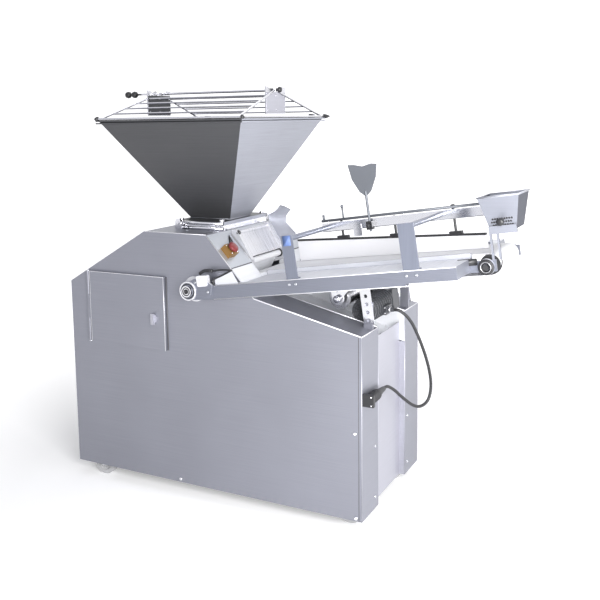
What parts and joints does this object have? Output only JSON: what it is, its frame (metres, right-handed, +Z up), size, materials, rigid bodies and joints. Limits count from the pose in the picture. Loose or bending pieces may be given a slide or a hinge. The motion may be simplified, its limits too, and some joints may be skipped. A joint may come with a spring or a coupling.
{
  "type": "dough_divider",
  "caption": "Volumetric dough divider on casters with a guarded hopper, dividing head and tilting conveyor",
  "frame": {"origin": "on the floor under the middle of the cabinet", "axes": "+X along the machine to the discharge end, +Y across it to the far side, +Z up"},
  "size_m": [1.8428, 0.7486, 1.6463],
  "materials": {
    "satin_steel": "satin stainless sheet",
    "polished_steel": "polished stainless steel",
    "painted_grey": "dark grey enamel",
    "cast_grey": "ground cast iron",
    "belt_white": "coated woven belt",
    "board_white": "white food-safe plastic",
    "wheel_white": "white nylon",
    "black_plastic": "black moulded plastic",
    "black_rubber": "black rubber",
    "signal_red": "red moulded plastic",
    "signal_yellow": "yellow moulded plastic",
    "bristle": "brown bristle"
  },
  "bodies": {
    "cabinet": {"base_frame": "painted_grey", "side_panel_near": "satin_steel", "side_panel_far": "satin_steel", "rear_panel": "satin_steel", "top_cover": "satin_steel", "front_plate": "satin_steel", "chute_trough": "satin_steel", "end_panel": "satin_steel", "power_socket": "painted_grey", "cord_plug": "black_plastic", "rear_caster_forks": "polished_steel", "estop_base": "signal_yellow", "hopper": "satin_steel", "throat_frame": "polished_steel", "clamp_bolts": "polished_steel", "chamber_block": "cast_grey", "ram_cylinder": "painted_grey", "head_cheeks": "polished_steel", "handle_plate": "satin_steel", "hydraulic_tank": "painted_grey", "pump_motor": "painted_grey", "pivot_hubs": "polished_steel"},
    "conveyor": {"conveyor_side_near": "painted_grey", "conveyor_side_far": "painted_grey", "slider_bed": "satin_steel", "conveyor_belt": "belt_white", "hangers": "polished_steel", "conveyor_motor": "painted_grey", "chain_guard": "satin_steel", "tilt_straps": "polished_steel", "guide_posts": "satin_steel", "guide_rail": "polished_steel", "rail_clamps": "black_plastic", "flour_box": "satin_steel", "power_cord": "black_rubber"},
    "board": {"rounding_board": "board_white", "board_hangers": "black_plastic"},
    "access_door": {"access_door": "satin_steel"},
    "door_latch": {"door_latch": "polished_steel"},
    "front_fork_near": {"front_fork_near": "polished_steel"},
    "front_fork_far": {"front_fork_far": "polished_steel"},
    "rear_wheel_near": {"rear_wheel_near": "wheel_white"},
    "rear_wheel_far": {"rear_wheel_far": "wheel_white"},
    "front_wheel_near": {"front_wheel_near": "wheel_white"},
    "front_wheel_far": {"front_wheel_far": "wheel_white"},
    "estop_button": {"estop_button": "signal_red"},
    "hopper_guard": {"hopper_guard": "polished_steel"},
    "ram": {"ram": "polished_steel"},
    "ram_rocker": {"ram_rocker": "painted_grey"},
    "piston_rod": {"piston_rod": "polished_steel"},
    "knife": {"knife": "polished_steel"},
    "measuring_drum": {"measuring_drum": "polished_steel"},
    "measuring_pistons": {"measuring_pistons": "polished_steel"},
    "drum_cover": {"drum_cover": "polished_steel"},
    "discharge_roller": {"discharge_roller": "board_white"},
    "head_roller": {"head_roller": "black_rubber"},
    "tail_roller": {"tail_roller": "polished_steel"},
    "return_roller": {"return_roller": "polished_steel"},
    "paddle": {"paddle": "painted_grey"},
    "flour_brush": {"flour_brush": "bristle"}
  },
  "joints": [
    {"name": "conveyor_tilt", "type": "hinge", "parent": "cabinet", "child": "conveyor", "pos_m": [-0.03325, 0, 0.86647], "axis": [0, -1, 0], "range_deg": [0, 5]},
    {"name": "head_roller_turn", "type": "hinge", "parent": "conveyor", "child": "head_roller", "pos_m": [1.07366, 0, 1.00975], "axis": [0, 1, 0], "continuous": true},
    {"name": "tail_roller_turn", "type": "hinge", "parent": "conveyor", "child": "tail_roller", "pos_m": [0.13361, 0, 0.87262], "axis": [0, 1, 0], "continuous": true},
    {"name": "return_roller_turn", "type": "hinge", "parent": "conveyor", "child": "return_roller", "pos_m": [0.50671, 0, 0.84357], "axis": [0, 1, 0], "continuous": true},
    {"name": "flour_brush_turn", "type": "hinge", "parent": "conveyor", "child": "flour_brush", "pos_m": [1.12127, 0, 1.16829], "axis": [0, 1, 0], "continuous": true},
    {"name": "paddle_turn", "type": "hinge", "parent": "conveyor", "child": "paddle", "pos_m": [0.57443, 0, 1.1067], "axis": [-0.1444, 0, 0.9895], "range_deg": [-90, 90]},
    {"name": "board_height", "type": "slide", "parent": "conveyor", "child": "board", "axis": [-0.1444, 0, 0.9895], "range_m": [0, 0.025]},
    {"name": "door_hinge", "type": "hinge", "parent": "cabinet", "child": "access_door", "pos_m": [-0.5635, -0.319, 0.753], "axis": [0, 0, -1], "range_deg": [0, 110]},
    {"name": "door_latch_turn", "type": "hinge", "parent": "access_door", "child": "door_latch", "pos_m": [-0.2265, -0.325, 0.731], "axis": [0, -1, 0], "range_deg": [0, 90]},
    {"name": "guard_hinge", "type": "hinge", "parent": "cabinet", "child": "hopper_guard", "pos_m": [-0.117, 0.362, 1.5273], "axis": [-1, 0, 0], "range_deg": [0, 100]},
    {"name": "drum_cover_hinge", "type": "hinge", "parent": "cabinet", "child": "drum_cover", "pos_m": [0.048, 0, 1.066], "axis": [0, -1, 0], "range_deg": [0, 75]},
    {"name": "drum_turn", "type": "hinge", "parent": "cabinet", "child": "measuring_drum", "pos_m": [0.01, 0, 0.985], "axis": [0, -1, 0], "range_deg": [0, 120]},
    {"name": "piston_travel", "type": "slide", "parent": "measuring_drum", "child": "measuring_pistons", "axis": [-1, 0, 0], "range_m": [0, 0.018]},
    {"name": "discharge_roller_turn", "type": "hinge", "parent": "cabinet", "child": "discharge_roller", "pos_m": [0.107, 0, 0.954], "axis": [0, 1, 0], "continuous": true},
    {"name": "ram_stroke", "type": "slide", "parent": "cabinet", "child": "ram", "axis": [1, 0, 0], "range_m": [0, 0.14]},
    {"name": "rocker_swing", "type": "hinge", "parent": "cabinet", "child": "ram_rocker", "pos_m": [-0.228, 0, 0.56], "axis": [0, 1, 0], "range_deg": [0, 21.71]},
    {"name": "rod_stroke", "type": "slide", "parent": "cabinet", "child": "piston_rod", "axis": [1, 0, 0], "range_m": [0, 0.0537]},
    {"name": "knife_stroke", "type": "slide", "parent": "cabinet", "child": "knife", "axis": [1, 0, 0], "range_m": [0, 0.135]},
    {"name": "estop_press", "type": "slide", "parent": "cabinet", "child": "estop_button", "axis": [-0.7446, 0, -0.6675], "range_m": [0, 0.006], "stiffness_N_per_m": 600},
    {"name": "caster_swivel_near", "type": "hinge", "parent": "cabinet", "child": "front_fork_near", "pos_m": [0.552, -0.215, 0.13], "axis": [0, 0, 1], "continuous": true},
    {"name": "caster_swivel_far", "type": "hinge", "parent": "cabinet", "child": "front_fork_far", "pos_m": [0.552, 0.215, 0.13], "axis": [0, 0, 1], "continuous": true},
    {"name": "rear_wheel_near_roll", "type": "hinge", "parent": "cabinet", "child": "rear_wheel_near", "pos_m": [-0.549, -0.265, 0.05], "axis": [0, 1, 0], "continuous": true},
    {"name": "rear_wheel_far_roll", "type": "hinge", "parent": "cabinet", "child": "rear_wheel_far", "pos_m": [-0.549, 0.265, 0.05], "axis": [0, 1, 0], "continuous": true},
    {"name": "front_wheel_near_roll", "type": "hinge", "parent": "front_fork_near", "child": "front_wheel_near", "pos_m": [0.582, -0.215, 0.05], "axis": [0, 1, 0], "continuous": true},
    {"name": "front_wheel_far_roll", "type": "hinge", "parent": "front_fork_far", "child": "front_wheel_far", "pos_m": [0.582, 0.215, 0.05], "axis": [0, 1, 0], "continuous": true}
  ],
  "couplings": [
    {"joint": "tail_roller_turn", "follows": "head_roller_turn", "ratio": 1},
    {"joint": "return_roller_turn", "follows": "head_roller_turn", "ratio": -0.87045},
    {"joint": "rocker_swing", "follows": "ram_stroke", "rad_per_m": 2.7069},
    {"joint": "rod_stroke", "follows": "ram_stroke", "ratio": 0.38356}
  ]
}
